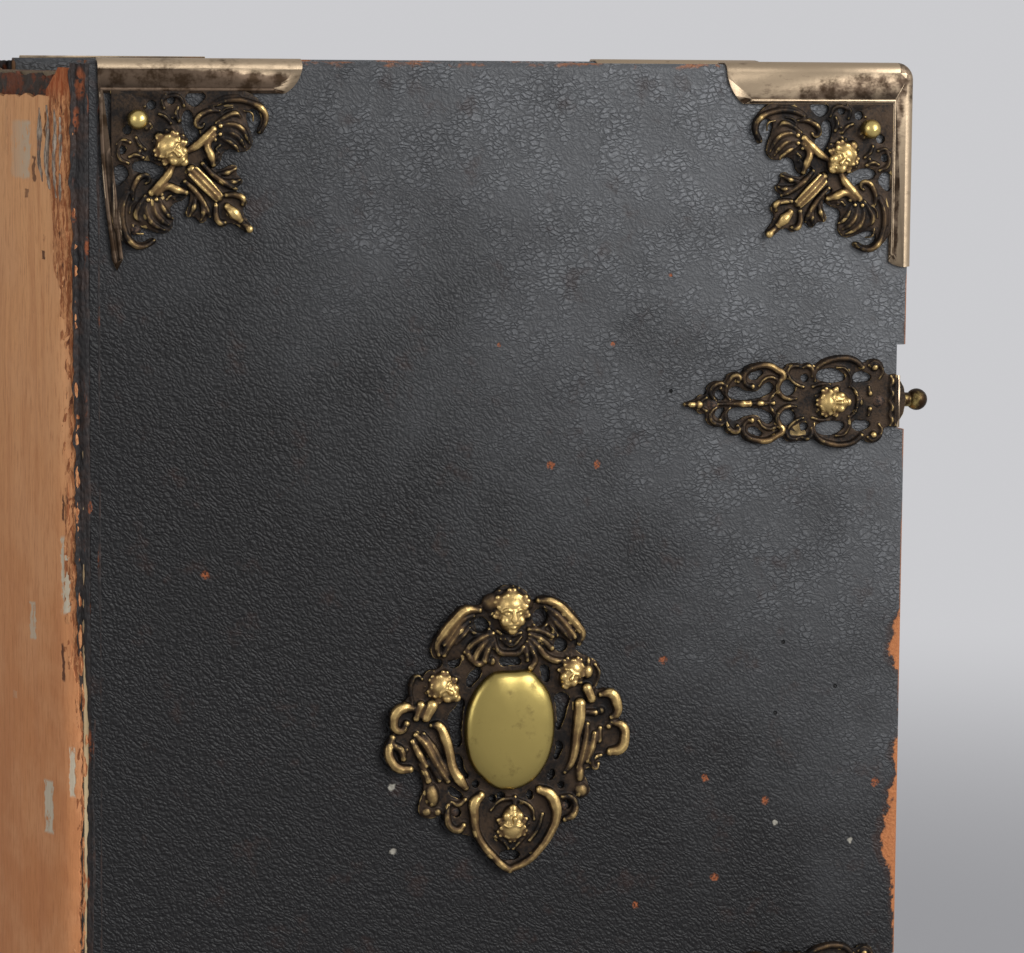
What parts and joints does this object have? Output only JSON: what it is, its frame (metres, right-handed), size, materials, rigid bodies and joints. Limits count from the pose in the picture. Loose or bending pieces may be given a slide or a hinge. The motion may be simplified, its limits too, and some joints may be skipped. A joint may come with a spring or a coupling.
{
  "type": "antique leather book",
  "caption": "Old folio bound in black leather over wooden boards, with pierced brass corner mounts, centre pieces and fore-edge catches; both covers open.",
  "frame": {"origin": "bottom centre of the upright book, level with the undersides of the tail corner mounts", "axes": "+Z to the head of the book, +X to the fore edge, -Y out of the front cover"},
  "size_m": [0.2892, 0.1502, 0.3936],
  "materials": {
    "leaves": "matt, cut leaf edges toned by age",
    "spine_lining": "matt, torn layers",
    "spine_leather": "smooth, worn and dry",
    "cover_leather": "grained, semi-gloss, worn red-brown at the edges",
    "endband_thread": "matt, decayed thread over a core",
    "board_wood": "plain sawn",
    "pastedown_paper": "matt, toned by age",
    "iron": "rusted",
    "polished_brass": "rubbed bright",
    "brass": "dark patina with rubbed highlights"
  },
  "bodies": {
    "text_block": {"headband": "endband_thread", "joint_leather_front": "cover_leather", "joint_leather_rear": "cover_leather", "spine_leather": "spine_leather", "spine_lining": "spine_lining", "tailband": "endband_thread", "text_block": "leaves"},
    "front_cover": {"catch_knob_lower": "brass", "catch_knob_upper": "brass", "catch_lower": "brass", "catch_upper": "brass", "front_board": "board_wood", "front_centre_piece": "brass", "front_leather": "cover_leather", "front_mount_head_fore": "brass", "front_mount_head_spine": "brass", "front_mount_tail_fore": "brass", "front_mount_tail_spine": "brass", "front_nails": "iron", "front_pastedown": "pastedown_paper", "front_studs": "polished_brass"},
    "rear_cover": {"rear_board": "board_wood", "rear_centre_piece": "brass", "rear_leather": "cover_leather", "rear_mount_head_fore": "brass", "rear_mount_head_spine": "brass", "rear_mount_tail_fore": "brass", "rear_mount_tail_spine": "brass", "rear_nails": "iron", "rear_pastedown": "pastedown_paper", "rear_studs": "polished_brass"}
  },
  "joints": [
    {"name": "front_joint", "type": "hinge", "parent": "text_block", "child": "front_cover", "pos_m": [-0.12085, -0.0685, 0.1968], "axis": [0, 0, 1], "range_deg": [-140, 0]},
    {"name": "rear_joint", "type": "hinge", "parent": "text_block", "child": "rear_cover", "pos_m": [-0.12085, 0.0685, 0.1968], "axis": [0, 0, 1], "range_deg": [0, 140]}
  ]
}
